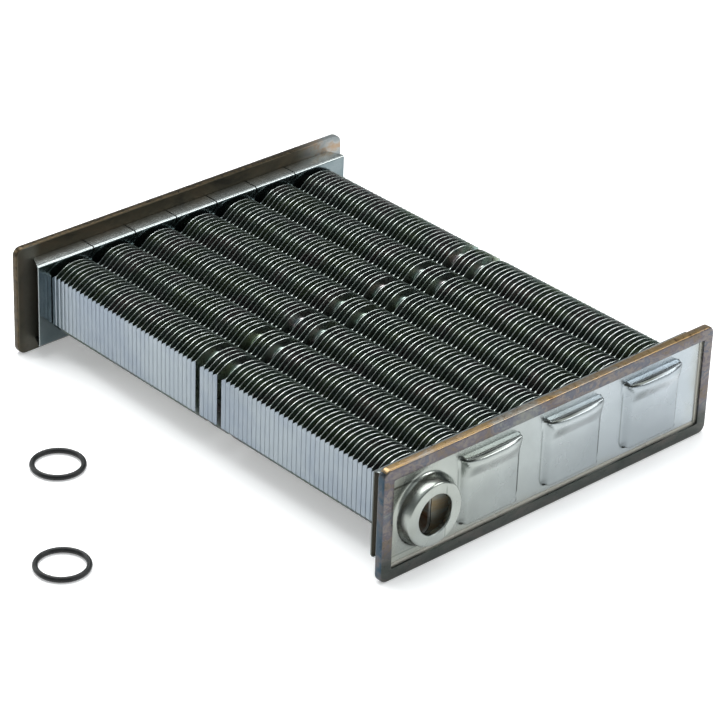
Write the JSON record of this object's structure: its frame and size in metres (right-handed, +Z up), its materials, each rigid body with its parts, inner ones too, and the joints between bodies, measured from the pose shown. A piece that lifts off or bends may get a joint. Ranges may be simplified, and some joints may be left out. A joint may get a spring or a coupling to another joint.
{
  "type": "finned tube heat exchanger",
  "caption": "Water heat exchanger of a gas boiler: parallel tubes through pressed fins between two pressed headers, with two loose port seals.",
  "frame": {"origin": "on the plane that the two header plates stand on, midway between them and on the middle tube's centre line", "axes": "+X along the tubes towards the front header, +Y towards the far side from the front water port, +Z up through the fins"},
  "size_m": [0.313, 0.3607, 0.065],
  "materials": {
    "tinted_steel": "stainless steel sheet with heat tint from brazing, brown to blue and gold",
    "cover_steel": "satin pressed stainless steel sheet, cool grey",
    "tray_steel": "bright folded stainless steel sheet",
    "tube_steel": "stainless steel tube, lightly browned",
    "fin_steel": "thin bright stainless steel sheet, bluish on the side tabs",
    "seal_rubber": "black moulded rubber, slightly shiny"
  },
  "bodies": {
    "exchanger": {"front_tube_plate": "tinted_steel", "front_cover": "cover_steel", "front_end_tray": "tray_steel", "rear_tube_plate": "tinted_steel", "rear_cover": "cover_steel", "rear_end_tray": "tray_steel", "tube_1": "tube_steel", "tube_2": "tube_steel", "tube_3": "tube_steel", "tube_4": "tube_steel", "tube_5": "tube_steel", "tube_6": "tube_steel", "tube_7": "tube_steel", "fin_pack_rear_1": "fin_steel", "fin_pack_rear_2": "fin_steel", "fin_pack_rear_3": "fin_steel", "fin_pack_rear_4": "fin_steel", "fin_pack_rear_5": "fin_steel", "fin_pack_rear_6": "fin_steel", "fin_pack_rear_7": "fin_steel", "fin_pack_rear_8": "fin_steel", "fin_pack_rear_9": "fin_steel", "fin_pack_centre": "fin_steel", "fin_pack_front_1": "fin_steel", "fin_pack_front_2": "fin_steel", "fin_pack_front_3": "fin_steel", "fin_pack_front_4": "fin_steel", "fin_pack_front_5": "fin_steel", "fin_pack_front_6": "fin_steel", "fin_pack_front_7": "fin_steel", "fin_pack_front_8": "fin_steel", "fin_pack_front_9": "fin_steel"},
    "o_ring_1": {"o_ring_1": "seal_rubber"},
    "o_ring_2": {"o_ring_2": "seal_rubber"}
  },
  "joints": [
    {"name": "o_ring_1_lift", "type": "slide", "parent": "exchanger", "child": "o_ring_1", "axis": [0, 0, 1], "range_m": [0, 0.05]},
    {"name": "o_ring_2_lift", "type": "slide", "parent": "exchanger", "child": "o_ring_2", "axis": [0, 0, 1], "range_m": [0, 0.05]}
  ]
}
